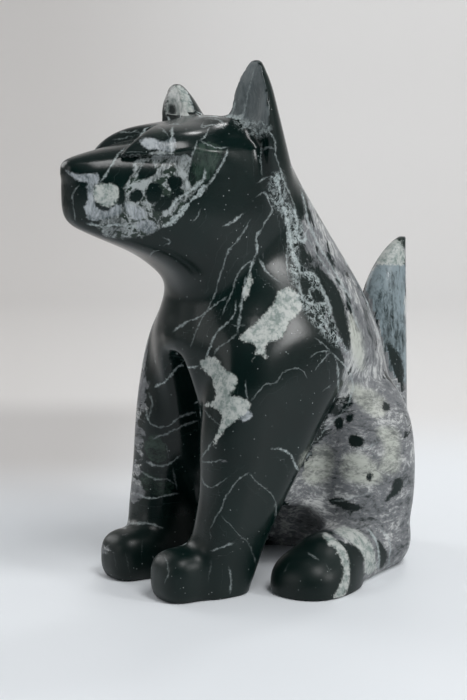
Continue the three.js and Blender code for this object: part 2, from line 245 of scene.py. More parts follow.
# Colours of one stone: where its pale tone starts and is whole, its dark tone, its pale tone
TONE = Values(
    grey=(0.36, 0.49, (0.022, 0.030, 0.030), (0.15, 0.157, 0.165)),
    matrix=(0.4, 0.56, (0.02, 0.028, 0.027), (0.32, 0.35, 0.35)),
    snow=(0.4, 0.56, (0.15, 0.16, 0.15), (0.44, 0.46, 0.41)),
    steel=(0.38, 0.58, (0.012, 0.022, 0.022), (0.21, 0.26, 0.28)),
    rubbed=(0.4, 0.6, (0.08, 0.10, 0.105), (0.16, 0.185, 0.19)),
    moss=(0.42, 0.6, (0.003, 0.010, 0.008), (0.028, 0.05, 0.038)),
    frost=(0.38, 0.6, (0.05, 0.07, 0.075), (0.40, 0.43, 0.45)),
    chalk=(0.38, 0.58, (0.17, 0.215, 0.20), (0.44, 0.46, 0.44)),
)
DEEP = ((0.0003, 0.0035, 0.003), (0.0018, 0.0115, 0.0098))
CRUMB = ((0.004, 0.009, 0.007), (0.022, 0.036, 0.028))
THREAD = ((0.24, 0.30, 0.31), (0.56, 0.61, 0.60))
WHITE = (0.50, 0.51, 0.50)
SPECK = (0.3, 0.33, 0.33)

# The stone as a viewer without its pattern shows it
STONE_COLOUR = (0.008, 0.014, 0.012)
STONE_ROUGHNESS = 0.24

# How much of a layer covers what lies under it
COVER = Values(soft=0.85, dull=0.9, lace=0.85, crumbs=0.6)

# Shares of two noises in one shade
SHADE_SHARES = (0.5, 0.5)
CHALK_SHARES = (0.65, 0.35)

# Grain: how much of the swirl it follows, and the turn and stretch of its strokes
GRAIN_SWIRL = 0.35
LONG_STROKES = {"Rotation": (0.45, 0, 0), "Scale": (1, 1, 0.3)}
SHORT_STROKES = {"Rotation": (-0.35, 0, 0), "Scale": (0.6, 0.6, 1.2)}
CLOUD_GAIN = 0.016
RUBBLE_SCALE = 0.19
SPECK_SCALE = 0.5

# Slope and start of what varies along a vein: its width, the cover of its core, and its gaps
VEIN_SWELL = (4, -1.1)
VEIN_CORE = (0.6, 0.35)
VEIN_GAPS = (0.75, 0.45)

# Veins where the stone doesn't show: size of their cells, thickness, share of places
WILD_VEINS = [(22, 1.1, 0.12), (9, 0.6, 0.06)]
WILD_PLACES = Values(scale=0.9, detail=2, start=0.62, whole=0.7)

# The polish: roughness of dark stone, and what is added to it
POLISH = Values(least=0.13, rough=0.12, light_stone=0.14, worn_foot=0.2, dull=0.3)
SHINE = 0.28
RELIEF = Values(light_stone=0.35, fine=0.5, strength=0.35, depth=0.00012)

# The paper turns from the floor's colour to the wall's behind the dog. Painted shade darkens it to
# the left, and a band of painted shadow lies on the left where the two meet. Places are in metres
FLOOR_COLOUR = (0.80, 0.83, 0.86)
WALL_COLOUR = (0.745, 0.735, 0.725)
SHADED_WALL_COLOUR = (0.625, 0.607, 0.592)
PAINTED_SHADOW_COLOUR = (0.50, 0.485, 0.475)
WALL_FROM = (0.15, 0.33)
WALL_SHADE_FROM = (-0.05, 0.2)
SHADOW_BAND = Values(start=(0.06, 0.2), end=(0.36, 0.28), aside=(-0.03, 0.09))
PAPER = Values(roughness=0.5, tooth=(400, 2), strength=0.05, depth=0.0002)
COVE = Values(front=-5, back=0.75, bend=0.35, height=1.6, half=4, turns=16)

# The room that the stone mirrors: it is dark in the direction of the photographer
CEILING_COLOUR = (0.3, 0.31, 0.32)
FAR_ROOM_COLOUR = (0.62, 0.62, 0.62)
NEAR_ROOM_COLOUR = (0.1, 0.11, 0.12)
NEAR_ROOM = (0.82, -0.57, 0)
NEAR_FROM = (0.3, 0.9)
CEILING_FROM = (0.3, 0.75)

# The camera: film height in millimetres, and the nearest that it sees in metres
FILM_HEIGHT = 36
CLIP_START = 0.05

# Lights: name, place, target, width and height in metres, watts
DOG_MIDDLE = (0, 0, 0.1)
LIGHTS = [
    ("overhead", (0.76, 0, 1.34), DOG_MIDDLE, 0.36, 0.7, 10),
    ("overhead_back", (-0.44, 0.7, 1.45), DOG_MIDDLE, 0.18, 0.18, 2),
    ("side", (0.86, 0.4, 0.48), DOG_MIDDLE, 0.2, 0.3, 3),
    ("window", (-0.85, -0.3, 0.5), DOG_MIDDLE, 0.5, 0.5, 2.4),
    ("front", (-0.1, -1.1, 0.45), DOG_MIDDLE, 0.6, 0.5, 0.9),
    ("wall_wash", (0.3, 0.45, 0.8), (-0.2, 1.2, 0.45), 0.5, 0.3, 2.2),
]

# Veins and patches of the stone, in the photograph's pixels. Each lies on the surface seen there.
# A vein: half width, strength from 0 to 1, and the points that it runs through
HEAD_VEINS = [
    (1.0, 0.8, (100, 184), (109, 170), (114, 161), (120, 153), (127, 146)),
    (0.8, 0.7, (130, 188), (138, 173), (146, 158)),
    (1.2, 0.6, (122, 188), (130, 186), (138, 181), (147, 183)),
    (1.5, 0.8, (174, 123), (171, 138), (172, 154)),
    (0.9, 0.6, (134, 132), (145, 131), (151, 127), (161, 128), (169, 137)),
    (0.8, 0.6, (108, 138), (117, 132), (130, 132), (138, 130)),
    (0.5, 0.5, (112, 140), (124, 138), (134, 136)),
    (0.4, 0.5, (124, 153), (134, 152), (146, 153)),
    (0.8, 0.7, (198, 140), (191, 158), (188, 174), (186, 190), (178, 205)),
    (1.0, 0.9, (227, 148), (224, 160), (216, 174), (208, 186)),
    (3.2, 0.75, (209, 184), (198, 194), (188, 204), (177, 217), (161, 228)),
    (2.4, 0.7, (205, 167), (203, 180), (191, 190), (178, 199), (168, 212)),
    (0.7, 0.8, (203, 121), (202, 127), (210, 125), (224, 129)),
    (1.0, 0.6, (203, 119), (220, 121), (226, 128)),
    (0.7, 0.8, (210, 126), (206, 135), (199, 141)),
    (0.9, 0.9, (200, 140), (212, 146), (224, 148), (228, 147)),
    (1.6, 0.75, (86, 223), (102, 226), (117, 225), (138, 227)),
    (0.8, 0.6, (80, 184), (73, 194), (73, 206), (76, 221)),
    (1.4, 0.7, (223, 227), (232, 222), (244, 213)),
    (1.0, 0.5, (192, 222), (198, 216), (201, 209)),
    (0.8, 0.6, (162, 237), (170, 242), (163, 246)),
    (0.6, 0.6, (150, 261), (151, 254), (161, 251)),
    (0.6, 0.4, (126, 246), (134, 250), (138, 257)),
    (0.6, 0.7, (254, 67), (250, 86), (245, 106), (242, 118)),
    (0.9, 0.5, (259, 98), (259, 102)),
    (1.2, 0.6, (184, 86), (190, 100), (197, 114)),
    (0.7, 0.5, (270, 98), (269, 108), (267, 118)),
    (2.2, 0.85, (221, 118), (230, 116), (240, 117), (246, 112)),
    (1.5, 0.8, (231, 116), (234, 108), (235, 100)),
    (1.4, 0.8, (243, 117), (245, 108), (244, 102)),
]
NECK_VEINS = [
    (0.8, 0.65, (267, 129), (274, 140), (275, 152), (280, 168), (286, 186), (293, 202), (297, 218)),
    (0.7, 0.7, (262, 142), (261, 158), (262, 175)),
    (0.8, 0.6, (262, 152), (268, 147), (275, 150)),
    (1.1, 0.7, (257, 183), (267, 177), (274, 176)),
    (0.9, 0.7, (256, 197), (264, 193), (270, 202), (272, 211), (268, 219), (261, 229)),
    (1.7, 0.7, (261, 228), (257, 238), (257, 250), (253, 262), (248, 276)),
    (3.0, 0.8, (276, 172), (279, 186), (282, 202), (287, 220), (290, 238), (294, 256), (300, 270)),
    (1.9, 0.85, (291, 206), (297, 222), (297, 234), (303, 242), (306, 232)),
    (0.9, 0.7, (288, 238), (287, 258), (288, 279)),
    (0.7, 0.6, (251, 219), (240, 237), (228, 252), (223, 268), (218, 282), (214, 296), (205, 313),
     (196, 332), (190, 348)),
    (1.1, 0.8, (172, 332), (187, 322), (204, 314), (216, 304), (227, 297)),
    (1.5, 0.6, (246, 276), (244, 292), (241, 306), (239, 320), (238, 333)),
    (0.7, 0.65, (255, 259), (243, 267), (236, 279), (232, 292), (226, 304), (222, 315)),
    (0.9, 0.75, (236, 300), (234, 313), (226, 324), (216, 334), (210, 347), (205, 359)),
    (0.8, 0.5, (238, 332), (229, 341), (219, 348), (214, 356)),
    (1.0, 0.5, (231, 325), (238, 326), (245, 324)),
    (1.3, 0.75, (260, 258), (264, 268), (271, 275), (280, 282)),
    (2.2, 0.7, (290, 266), (297, 274), (307, 272), (316, 277), (322, 289), (328, 301), (331, 316)),
    (1.6, 0.6, (300, 272), (305, 300), (316, 304), (326, 303)),
    (1.5, 0.65, (300, 188), (305, 204), (308, 222), (318, 243), (329, 262), (340, 280), (352, 300)),
    (1.0, 0.6, (308, 238), (322, 262), (338, 284), (352, 310), (360, 332)),
    (0.6, 0.7, (331, 352), (320, 352), (310, 357)),
    (0.6, 0.7, (331, 352), (322, 361), (315, 370)),
    (0.6, 0.6, (331, 352), (321, 343), (314, 338)),
    (0.9, 0.7, (331, 352), (341, 362), (350, 372), (352, 390), (348, 406)),
    (1.3, 0.55, (336, 360), (338, 376), (339, 397)),
    (0.8, 0.6, (348, 406), (338, 417), (328, 426), (319, 437), (311, 449)),
    (0.6, 0.5, (322, 392), (328, 388), (332, 384)),
]
LEG_VEINS = [
    (1.4, 0.85, (200, 365), (189, 367), (180, 366), (171, 375), (154, 388)),
    (0.8, 0.7, (213, 441), (207, 450), (201, 459)),
    (0.7, 0.7, (246, 380), (246, 390), (248, 400)),
    (0.4, 0.5, (203, 408), (212, 418), (219, 425)),
    (0.5, 0.6, (251, 401), (258, 392), (266, 384), (274, 383), (281, 375), (290, 369), (301, 370),
     (307, 378)),
    (1.0, 0.9, (269, 385), (275, 382)),
    (0.8, 0.65, (201, 461), (211, 462), (222, 459)),
    (1.3, 0.85, (270, 449), (279, 449), (288, 453), (294, 462), (299, 472)),
    (0.7, 0.55, (250, 473), (241, 478), (233, 486), (226, 496), (222, 507), (216, 517), (210, 529)),
    (0.6, 0.5, (250, 473), (259, 484), (270, 493), (276, 505), (275, 521), (268, 544)),
    (0.5, 0.4, (221, 515), (232, 527), (243, 538), (252, 551), (256, 565)),
    (0.6, 0.5, (201, 476), (208, 487), (219, 484), (228, 478)),
    (1.3, 0.6, (210, 551), (221, 547), (234, 543)),
    (0.9, 0.5, (212, 559), (208, 582)),
    (1.3, 0.5, (229, 566), (231, 578), (230, 594)),
    (0.7, 0.7, (210, 531), (211, 540)),
    (0.8, 0.45, (165, 556), (168, 570), (164, 584)),
]
FAR_LEG_VEINS = [
    (1.0, 0.55, (146, 408), (150, 423), (163, 427), (179, 418), (199, 411)),
    (1.4, 0.5, (152, 439), (168, 433), (188, 424), (199, 420)),
    (1.1, 0.75, (145, 462), (161, 466), (172, 462), (180, 455)),
    (0.6, 0.6, (166, 443), (169, 460)),
    (0.9, 0.6, (141, 471), (154, 478), (168, 480), (175, 484)),
    (1.1, 0.8, (137, 493), (147, 498), (163, 496), (180, 493)),
    (1.3, 0.55, (127, 524), (143, 523), (164, 528)),
    (0.8, 0.4, (172, 466), (175, 478), (177, 490)),
    (0.8, 0.5, (148, 392), (152, 404), (147, 420)),
    (0.6, 0.35, (126, 551), (129, 573)),
    (0.6, 0.4, (143, 538), (141, 560)),
    (0.5, 0.3, (113, 552), (118, 570)),
]
HIND_LEG_VEINS = [
    (1.8, 0.75, (365, 528), (375, 538), (379, 553), (378, 572)),
    (1.2, 0.6, (378, 526), (388, 538), (390, 556), (386, 572)),
    (1.2, 0.65, (307, 553), (313, 556), (319, 560)),
    (0.7, 0.4, (283, 574), (290, 562)),
    (0.9, 0.6, (326, 564), (331, 573)),
    (1.0, 0.5, (352, 446), (366, 448), (378, 442)),
    (0.8, 0.5, (331, 502), (352, 498), (372, 492)),
]
VEINS = HEAD_VEINS + NECK_VEINS + LEG_VEINS + FAR_LEG_VEINS + HIND_LEG_VEINS

# Patches: closed outlines. Their stone is chalky, softly whitened, bluish, a pale lace, slate, dark,
# green, or broken into rubble. Some dark patches are painted shade in creases and on the far ear's
# rim, and the soft whitening also paints light on the haunch's round bulge
PALE_PATCHES = [
    [(278, 292), (290, 288), (301, 305), (300, 311), (288, 324), (282, 338), (265, 347), (266, 358),
     (258, 354), (252, 361), (256, 348), (240, 340), (254, 324), (266, 312), (274, 302)],
    [(199, 364), (208, 357), (217, 359), (225, 369), (234, 374), (236, 386), (230, 395), (242, 398),
     (250, 406), (242, 416), (230, 426), (222, 434), (213, 446), (217, 432), (222, 417), (212, 407),
     (202, 405), (214, 400), (214, 386), (210, 376)],
    [(250, 271), (252, 281), (249, 293), (245, 301), (243, 293), (246, 282)],
    [(95, 186), (106, 183), (117, 186), (118, 198), (110, 207), (99, 204), (93, 195)],
    [(167, 117), (168, 98), (175, 85), (184, 87), (192, 104), (197, 118)],
    [(374, 262), (378, 246), (392, 237), (405, 252), (404, 264), (390, 265)],
    [(322, 531), (334, 538), (345, 550), (350, 566), (349, 582), (341, 598), (335, 601), (338, 588),
     (343, 576), (342, 562), (335, 549), (324, 538)],
    [(330, 527), (346, 527), (360, 532), (372, 545), (376, 560), (373, 575), (366, 584), (364, 575),
     (365, 562), (359, 550), (348, 541), (337, 534)],
]
# Whitish stone, which also paints the light on the haunch's round bulge
SOFT_PALE_AND_LIT_PATCHES = [
    [(350, 384), (366, 388), (386, 404), (384, 416), (364, 410)],
    [(376, 430), (394, 428), (400, 450), (394, 474), (378, 470), (384, 450)],
    [(344, 456), (376, 464), (382, 480), (360, 484), (340, 474)],
    [(306, 452), (328, 446), (334, 466), (322, 484), (304, 480)],
    [(352, 316), (359, 328), (364, 350), (362, 370), (352, 352)],
]
BLUE_PATCHES = [
    [(140, 141), (152, 138), (164, 141), (173, 137), (173, 151), (160, 150), (146, 148)],
    [(65, 170), (75, 174), (87, 174), (99, 176), (98, 184), (85, 183), (75, 179)],
    [(137, 223), (147, 220), (157, 225), (155, 231), (142, 232)],
    [(84, 188), (92, 184), (96, 206), (110, 209), (118, 204), (122, 210), (106, 219), (90, 220),
     (83, 206)],
    [(124, 202), (136, 206), (146, 212), (140, 220), (128, 214)],
    [(242, 410), (249, 410), (252, 416), (247, 421), (240, 420)],
]
LACE_PATCHES = [
    [(232, 117), (250, 118), (266, 121), (272, 128), (268, 136), (257, 138), (247, 134), (236, 126)],
    [(272, 174), (280, 170), (287, 190), (296, 212), (305, 236), (300, 246), (299, 266), (290, 262),
     (287, 240), (281, 216), (268, 196)],
    [(290, 262), (306, 266), (320, 280), (328, 298), (338, 316), (348, 338), (352, 356), (340, 350),
     (326, 340), (312, 324), (300, 308), (292, 284)],
]
SLATE_PATCHES = [
    [(372, 270), (384, 262), (404, 264), (405, 300), (405, 384), (392, 376), (380, 344), (366, 300)],
]
# Dark stone, and a few patches of painted shade: in creases by the haunch and on the far ear's rim
DARK_STONE_AND_SHADE_PATCHES = [
    [(319, 268), (331, 279), (342, 297), (348, 322), (349, 351), (342, 341), (333, 316), (324, 292)],
    [(300, 278), (308, 279), (310, 288), (305, 296), (298, 292)],
    [(314, 289), (321, 292), (322, 301), (314, 302)],
    [(76, 188), (84, 186), (87, 203), (80, 208), (74, 202)],
    [(110, 170), (120, 162), (133, 164), (131, 178), (122, 186), (111, 182)],
    [(138, 168), (150, 162), (157, 170), (150, 178), (140, 180)],
    [(130, 192), (140, 190), (143, 198), (136, 203), (129, 199)],
    [(146, 188), (156, 182), (162, 192), (154, 204), (147, 200)],
    [(158, 200), (170, 196), (172, 206), (162, 212), (154, 210)],
    [(173, 190), (184, 192), (180, 202), (171, 200)],
    [(166, 180), (178, 176), (183, 184), (172, 190)],
    # Painted shadow along the far ear's rim
    [(188, 86), (198, 106), (206, 118), (200, 118), (192, 104)],
    [(170, 104), (175, 106), (173, 116), (168, 112)],
    [(348, 439), (354, 434), (361, 436), (365, 442), (358, 448), (350, 446)],
    # Painted shade in the crease behind the foreleg
    [(336, 417), (342, 418), (344, 424), (339, 430), (334, 427)],
    [(346, 415), (353, 416), (352, 422), (347, 423)],
    [(384, 402), (389, 404), (389, 411), (383, 410)],
    [(397, 477), (403, 481), (401, 490), (394, 497), (384, 502), (389, 494), (392, 485)],
    [(366, 474), (372, 474), (372, 479), (366, 480)],
    # Painted shade in the crease under the haunch
    [(326, 500), (338, 497), (349, 502), (363, 508), (350, 512), (338, 507)],
    [(388, 342), (398, 352), (404, 372), (402, 396), (393, 372)],
    [(346, 543), (356, 549), (362, 562), (361, 582), (353, 594), (351, 590), (353, 566)],
    [(378, 540), (384, 546), (385, 566), (379, 574), (378, 556)],
]
GREEN_PATCHES = [
    [(200, 143), (222, 149), (220, 160), (208, 180), (194, 188), (192, 160)],
    [(112, 199), (117, 198), (119, 204), (112, 206)],
    [(227, 370), (235, 374), (237, 388), (230, 395), (228, 386)],
    [(146, 440), (156, 434), (166, 446), (166, 460), (150, 460)],
    [(143, 472), (158, 478), (174, 485), (170, 494), (150, 494), (141, 484)],
    [(152, 126), (160, 129), (166, 136), (160, 138), (154, 134)],
    [(174, 84), (181, 86), (180, 92), (173, 91)],
    [(396, 242), (402, 235), (406, 246), (398, 248)],
]
BROKEN_PATCHES = [
    [(124, 186), (134, 162), (150, 153), (176, 152), (192, 160), (188, 180), (196, 186), (184, 204),
     (168, 222), (146, 236), (120, 238), (100, 232), (104, 214), (122, 208)],
]

# Stone that is clouded with grey runs back from this line: height, place along the dog
CLOUD_EDGE = [
    (0, 24), (14, 22), (28, 6), (38, 9), (47, 16), (57, 23), (68, 24), (80, 20), (92, 16), (106, 14),
    (118, 13), (130, 12), (142, 14), (152, 22), (162, 40), (190, 40),
]


# Smooth joins

def blend(a, b, width):
    h = np.maximum(width - np.abs(a - b), 0) / width
    return np.minimum(a, b) - h**3 * width / 6


def carve(a, b, width):
    return -blend(-a, -b, width)


def rotate(x, y, degrees):
    angle = np.radians(degrees)
    c, s = np.cos(angle), np.sin(angle)
    return c * x + s * y, c * y - s * x


def step(value, start, end):
    """0 before start, 1 after end, and smooth between them."""
    t = np.clip((value - start) / (end - start), 0, 1)
    return t * t * (3 - 2 * t)


def through(rows, place):
    """The columns of a smooth curve through the rows, at each place. The curve is a natural cubic."""
    rows = np.array(rows, float)
    at, value = rows[:, 0], rows[:, 1:]
    gap = np.diff(at)
    rise = np.diff(value, axis=0) / gap[:, None]
    matrix = np.zeros((len(at), len(at)))
    goal = np.zeros_like(value)
    matrix[0, :2] = 2, 1
    matrix[-1, -2:] = 1, 2
    goal[0], goal[-1] = 3 * rise[0], 3 * rise[-1]
    for i in range(1, len(at) - 1):
        matrix[i, i - 1:i + 2] = gap[i], 2 * (gap[i - 1] + gap[i]), gap[i - 1]
        goal[i] = 3 * (gap[i] * rise[i - 1] + gap[i - 1] * rise[i])
    slope = np.linalg.solve(matrix, goal)
    x = np.clip(place, at[0], at[-1])
    i = np.clip(np.searchsorted(at, x) - 1, 0, len(gap) - 1)
    h = gap[i]
    u = (x - at[i]) / h
    start = (1 + 2 * u) * (1 - u) ** 2
    leave = h * u * (1 - u) ** 2
    arrive = h * u * u * (u - 1)
    return [
        value[i, c] * start + slope[i, c] * leave + value[i + 1, c] * (1 - start) + slope[i + 1, c] * arrive
        for c in range(value.shape[1])
    ]


# Distances to simple forms, true close to their surfaces

def round_distance(offsets, halves, power):
    parts = [np.abs(offset) / half for offset, half in zip(offsets, halves)]
    q = np.maximum(sum(part**power for part in parts) ** (1 / power), LEAST)
    slope = np.sqrt(sum(((part / q) ** (power - 1) / half) ** 2 for part, half in zip(parts, halves)))
    return (q - 1) / np.maximum(slope, LEAST)


def oval_distance(x, y, a, b, power):
    return round_distance((x, y), (a, b), power)


def ball_distance(x, y, z, ball):
    centre, half, power = ball
    return round_distance((x - centre[0], y - centre[1], z - centre[2]), half, power)


def rod_distance(x, y, z, start, end):
    (a, ra), (b, rb) = start, end
    run = np.subtract(b, a)
    ox, oy, oz = x - a[0], y - a[1], z - a[2]
    h = np.clip((ox * run[0] + oy * run[1] + oz * run[2]) / (run @ run), 0, 1)
    away = np.sqrt((ox - h * run[0]) ** 2 + (oy - h * run[1]) ** 2 + (oz - h * run[2]) ** 2)
    return away - (ra + (rb - ra) * h)


# The carved volumes

def trunk_distance(x, y, z):
    front, back, half = through(TRUNK, z)
    side = oval_distance(x, y - (front + back) / 2, half, (back - front) / 2, SQUARENESS.trunk)
    whole = carve(side, z - NECK_TOP, ROUND.trunk_top)
    opened = carve(whole, -ball_distance(x, y, z, BELLY_HOLLOW), ROUND.belly)
    return carve(opened, -ball_distance(x, y, z, CHEST_ARCH), ROUND.arch)


def foreleg_distance(x, y, z):
    front, back, inner, outer = through(FORELEG, z)
    across, along = x - (inner + outer) / 2, y - (front + back) / 2
    side = oval_distance(across, along, (outer - inner) / 2, (back - front) / 2, SQUARENESS.foreleg)
    topped = carve(side, z - SHOULDER_TOP, ROUND.foreleg_top)
    return blend(topped, ball_distance(x, y, z, FOREPAW), JOIN.forepaw)


def hind_leg_distance(x, y, z):
    centre, half, power = HIND_PAW
    u, v = rotate(x - centre[0], y - centre[1], HIND_PAW_TURN)
    paw = ball_distance(u, v, z - centre[2], ((0, 0, 0), half, power))
    foot = blend(paw, rod_distance(x, y, z, INSTEP, HEEL), JOIN.hind_paw)
    return blend(ball_distance(x, y, z, HAUNCH), foot, JOIN.foot)


def fading_crease(y, z):
    """0 where the crease under the cap is crisp, over the muzzle, and 1 where it has gone."""
    return step(y, CREASE_FADE.start, CREASE_FADE.end) * step(z, CREASE_FADE.high, CREASE_FADE.low)


def cap_distance(x, y, z):
    """The cap over the eyes: two points run forward beside a groove, above a crisp crease."""
    top, half = through(CAP, -y)
    side = oval_distance(x, z - CAP_FLOOR, half, top - CAP_FLOOR, SQUARENESS.cap)
    grooved = carve(side, -ball_distance(x, y, z, BROW_GROOVE), ROUND.brow_groove)
    reach = CAP_POINT + np.abs(x) * np.where(x > 0, CAP_SLANT.left, CAP_SLANT.right)
    pointed = carve(grooved, z - EYE_CREASE - reach - y, ROUND.cap_point)
    short = carve(pointed, y - CAP_END, ROUND.cap_end)
    crease = CREASE_WIDTH.above + CREASE_WIDTH.faded_above * fading_crease(y, z)
    return carve(short, EYE_CREASE - z, crease)


def head_distance(x, y, z):
    top, bottom, half = through(HEAD, -y)
    side = oval_distance(x, z - (top + bottom) / 2, half, (top - bottom) / 2, SQUARENESS.head)
    blunt = carve(side, -NOSE_REACH - y, ROUND.nose)
    short = carve(blunt, y - HEAD_END, ROUND.head_end)
    crease = CREASE_WIDTH.below + CREASE_WIDTH.faded_below * fading_crease(y, z)
    capped = blend(short, cap_distance(x, y, z), crease)
    return blend(capped, ball_distance(x, y, z, NOSE_PAD), JOIN.nose_pad)


def ear_distance(x, y, z, ear):
    """A tapering blade with a flat face, lightly scooped, turned forward."""
    w = (z - ear.base) / ear.tall
    turned, v = rotate(x * ear.side - ear.x, y - ear.y, ear.yaw)
    u = turned - ear.lean * (np.clip(w, 0, EAR_BEND.limit) / EAR_BEND.height) ** EAR_BEND.power
    front, back, inner, outer = through(EAR, w)
    back = front + ear.thick * (back - front)
    across = u - (outer + inner) / 2
    blade = oval_distance(across, v - front, (outer - inner) / 2, back - front, SQUARENESS.ear)
    faced = carve(blade, front - v, ROUND.ear_edge + ROUND.ear_neck * np.clip(-w / EAR_NECK, 0, 1))
    scooped = carve(faced, -ball_distance(u, v - EAR_SCOOP_LEAN * w, w, EAR_SCOOP), ROUND.ear_scoop)
    topped = carve(scooped, (w - EAR_TOP) * ear.tall, ROUND.ear_top)
    return carve(topped, (EAR_ROOT - w) * ear.tall, ROUND.ear_root)


def tail_distance(x, y, z):
    """An upright blade, whose front edge leans back and rounds over to the tip."""
    rise = np.clip((z - TAIL_BEND) / (TAIL_TIP - TAIL_BEND), 0, 1)
    taper = np.clip(z, 0, TAIL_BEND) / TAIL_BEND
    upright = TAIL.depth_at_foot + (TAIL.depth_at_bend - TAIL.depth_at_foot) * taper
    depth = upright * (1 - rise**TAIL_ROUND.start) ** TAIL_ROUND.end + TAIL.least_depth
    narrowing = (TAIL.half_at_foot - TAIL.half_at_tip) * np.clip(z, 0, TAIL_TIP) / TAIL_TIP
    half = TAIL.half_at_foot - narrowing - TAIL.thinning * rise**2
    side = oval_distance(x, y - TAIL_BACK + depth / 2, half, depth / 2, SQUARENESS.tail)
    return carve(side, z - TAIL_TIP + TAIL.blunt, ROUND.tail_tip)


def dog_distance(points):
    x, y, z = points
    side = np.abs(x)
    legs = blend(trunk_distance(x, y, z), foreleg_distance(side, y, z), JOIN.foreleg)
    seated = blend(legs, hind_leg_distance(side, y, z), JOIN.hind_leg)
    tailed = blend(seated, tail_distance(x, y, z), JOIN.tail)
    headed = blend(tailed, head_distance(x, y, z), JOIN.neck)
    ears = np.minimum(ear_distance(x, y, z, LEFT_EAR), ear_distance(x, y, z, RIGHT_EAR))
    return carve(blend(headed, ears, JOIN.ear), -z, SOFT_FOOT)


# The surface, wrapped round the places where the distance is below zero

def sampled(distance, planes):
    """The distance at every crossing of the planes. Only places near the surface are worked out fully."""
    skip = COARSE.skip
    coarse = [np.append(place[::skip], place[-1]) for place in planes]
    rough = distance(np.meshgrid(*coarse, indexing="ij"))
    near = [
        np.clip((np.arange(len(place)) + skip // 2) // skip, 0, len(few) - 1)
        for place, few in zip(planes, coarse)
    ]
    value = rough[np.ix_(*near)]
    close = np.nonzero(np.abs(value) < COARSE.reach * skip * STEP)
    value[close] = distance([place[i] for place, i in zip(planes, close)])
    return value


def surface_net(value, low):
    """Corner points and four-sided faces: a point in each cell that the surface passes through."""
    inside = value < 0
    cells = np.array(value.shape) - 1
    stride = np.array([cells[1] * cells[2], cells[2], 1])
    ring = ((0, 0), (1, 0), (1, 1), (0, 1))
    found, quads = [], []
    for axis in range(3):
        unit = np.eye(3, dtype=int)
        u, v = unit[(axis + 1) % 3], unit[(axis + 2) % 3]
        here = tuple(slice(0, -1) if k == axis else slice(1, -1) for k in range(3))
        there = tuple(slice(1, None) if k == axis else slice(1, -1) for k in range(3))
        start = np.array(np.nonzero(inside[here] != inside[there])).T
        start += 1 - unit[axis]
        a = value[tuple(start.T)]
        b = value[tuple((start + unit[axis]).T)]
        point = np.array(low) + STEP * (start + (a / (a - b))[:, None] * unit[axis])
        around = np.stack([(start - p * u - q * v) @ stride for p, q in ring], axis=1)
        found.append((around, point))
        quads.append(np.where((a < 0)[:, None], around, around[:, ::-1]))
    cell = np.concatenate([around.ravel() for around, _ in found])
    point = np.concatenate([np.repeat(point, 4, axis=0) for _, point in found])
    used, number = np.unique(cell, return_inverse=True)
    count = np.bincount(number)
    points = np.stack([np.bincount(number, point[:, k]) / count for k in range(3)])
    return points, np.searchsorted(used, np.concatenate(quads))


def slope_of(distance, points):
    slope = np.empty_like(points)
    for axis in range(3):
        shift = np.zeros((3, 1))
        shift[axis] = SLOPE_STEP
        slope[axis] = (distance(points + shift) - distance(points - shift)) / (2 * SLOPE_STEP)
    return slope


def settled(distance, points):
    """The points moved onto the surface."""
    longest = SETTLE.longest * STEP
    for _ in range(SETTLE.rounds):
        slope = slope_of(distance, points)
        move = -distance(points) / np.maximum((slope**2).sum(0), SETTLE.least_slope) * slope
        points = points + np.clip(move, -longest, longest)
    return points


def evened(points, quads):
    """The points moved towards the middle of their neighbours, so that the faces even out."""
    total = np.zeros_like(points)
    count = np.zeros(points.shape[1])
    for a in range(4):
        for b in (a - 1, (a + 1) % 4):
            count += np.bincount(quads[:, a], minlength=points.shape[1])
            for axis in range(3):
                total[axis] += np.bincount(quads[:, a], points[axis][quads[:, b]], points.shape[1])
    return points + SETTLE.evening * (total / count - points)


planes = [np.arange(low, high + STEP, STEP) for low, high in zip(REACH_LOW, REACH_HIGH)]
surface, quads = surface_net(sampled(dog_distance, planes), REACH_LOW)
surface = settled(dog_distance, surface)
surface = settled(dog_distance, evened(surface, quads))
normals = slope_of(dog_distance, surface)
normals /= np.linalg.norm(normals, axis=0)


# The mesh, kept inside the CAD solid's box

def fitted(points, box):
    """The points in metres, with their middle on the box's middle, and no larger than the box."""
    low, high = np.array(box[0]), np.array(box[1])
    start, end = points.min(1) * MM, points.max(1) * MM
    scale = np.minimum((high - low) / (end - start), 1)
    middle = (start + end) / 2
    target = (low + high) / 2
    target[2] = low[2] + scale[2] * (end[2] - start[2]) / 2
    return (points.T * MM - middle) * scale + target, target - middle


corners, shift = fitted(surface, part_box("dog_carving"))
mesh = bpy.data.meshes.new("dog_stone")
mesh.from_pydata(corners, [], quads.tolist())
mesh.shade_smooth()
mesh.normals_split_custom_set_from_vertices(normals.T)
mesh.validate()
dog = bpy.data.objects.new("dog_stone", mesh)
bpy.context.collection.objects.link(dog)
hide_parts("dog_carving")
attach(dog, "root")


# The stone's pattern, laid on the corners of the mesh

def open_to_view(across, down, depth, facing):
    """Which points have nothing in front of them, seen from the photograph's viewpoint."""
    cell = NEAREST.cell
    row = (np.clip(down, 0, PHOTO_HEIGHT) / cell).astype(int)
    column = (np.clip(across, 0, PHOTO_WIDTH) / cell).astype(int)
    nearest = np.full((PHOTO_HEIGHT // cell + 1, PHOTO_WIDTH // cell + 1), np.inf)
    front = facing > 0
    np.minimum.at(nearest, (row[front], column[front]), depth[front])
    return depth < nearest[row, column] + NEAREST.slack


